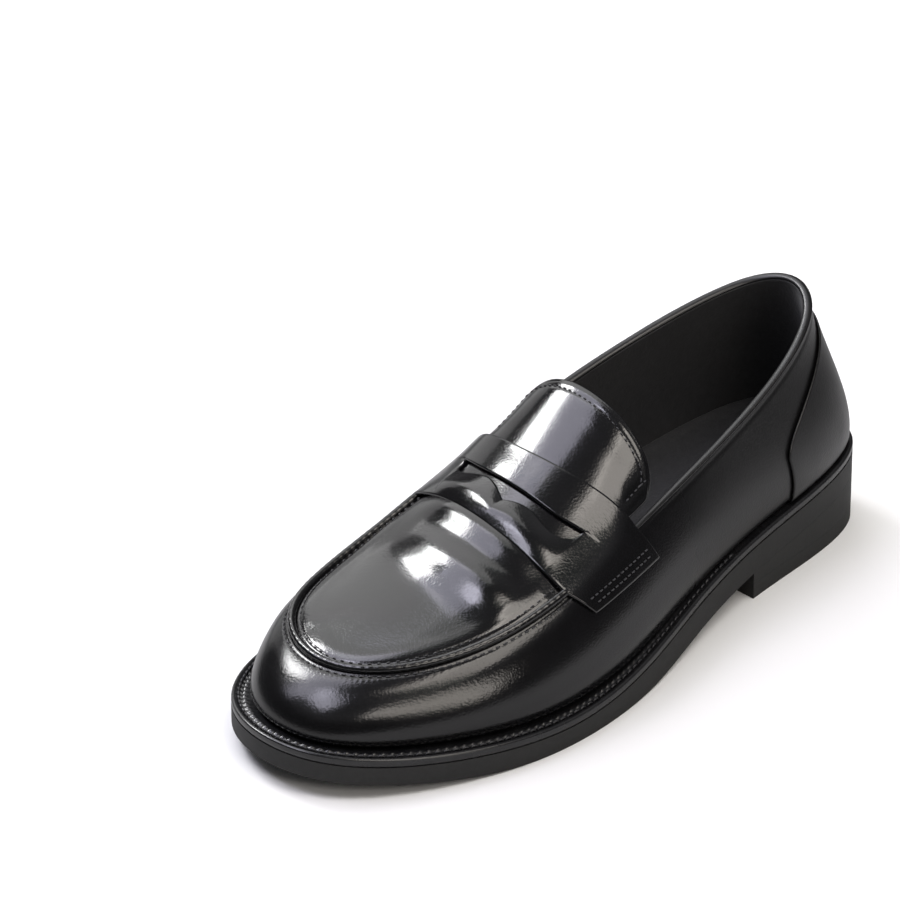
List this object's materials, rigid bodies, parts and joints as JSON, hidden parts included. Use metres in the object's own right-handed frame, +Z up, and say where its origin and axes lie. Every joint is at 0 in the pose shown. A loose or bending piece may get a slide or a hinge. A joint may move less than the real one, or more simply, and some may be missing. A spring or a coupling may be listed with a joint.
{
  "type": "loafer",
  "caption": "Left penny loafer: low slip-on shoe with raised apron seam, slotted saddle strap, arched tongue, welted sole and stacked block heel.",
  "frame": {"origin": "on the floor, under the middle of the shoe's plan outline", "axes": "+Z up, toe towards -Y and heel towards +Y, +X towards the wearer's left, the outer (lateral) side of this left shoe"},
  "size_m": [0.1139, 0.291, 0.091],
  "materials": {
    "upper_leather": "high-gloss polished black calf",
    "lining_leather": "matt black lining leather",
    "welt_leather": "black waxed welt with a wheeled top",
    "heel_stack": "matt black heel stack",
    "sole_rubber": "matt black rubber",
    "insole_board": "vegetable-tanned insole leather",
    "cork": "pressed cork granules",
    "steel": "plain spring steel",
    "foam": "soft foam",
    "thread": "waxed black thread",
    "stiffener_board": "thermoplastic stiffener sheet",
    "doubler_fabric": "woven cotton doubler"
  },
  "bodies": {
    "shoe": {"outsole": "sole_rubber", "welt": "welt_leather", "heel_rand": "welt_leather", "heel_block": "heel_stack", "top_lift": "sole_rubber", "insole": "insole_board", "cork_filler": "cork", "shank": "steel", "heel_pad": "foam", "sock_lining": "lining_leather", "heel_nails": "steel", "welt_thread": "thread", "vamp_quarter": "upper_leather", "vamp_lining": "lining_leather", "quarter_lining": "lining_leather", "toe_puff": "stiffener_board", "counter_stiffener": "stiffener_board", "side_doubler_lateral": "doubler_fabric", "side_doubler_medial": "doubler_fabric", "counter_cover": "upper_leather", "apron": "upper_leather", "apron_lining": "lining_leather", "apron_piping": "upper_leather", "saddle_strap": "upper_leather", "topline_binding": "upper_leather", "apron_thread_inner": "thread", "apron_thread_outer": "thread", "strap_thread": "thread"},
    "tongue": {"tongue": "upper_leather", "tongue_lining": "lining_leather", "tongue_thread": "thread"}
  },
  "joints": [
    {"name": "tongue_flex", "type": "hinge", "parent": "shoe", "child": "tongue", "pos_m": [-0.003, -0.0025, 0.072], "axis": [1, 0, 0], "range_deg": [0, 20]}
  ]
}
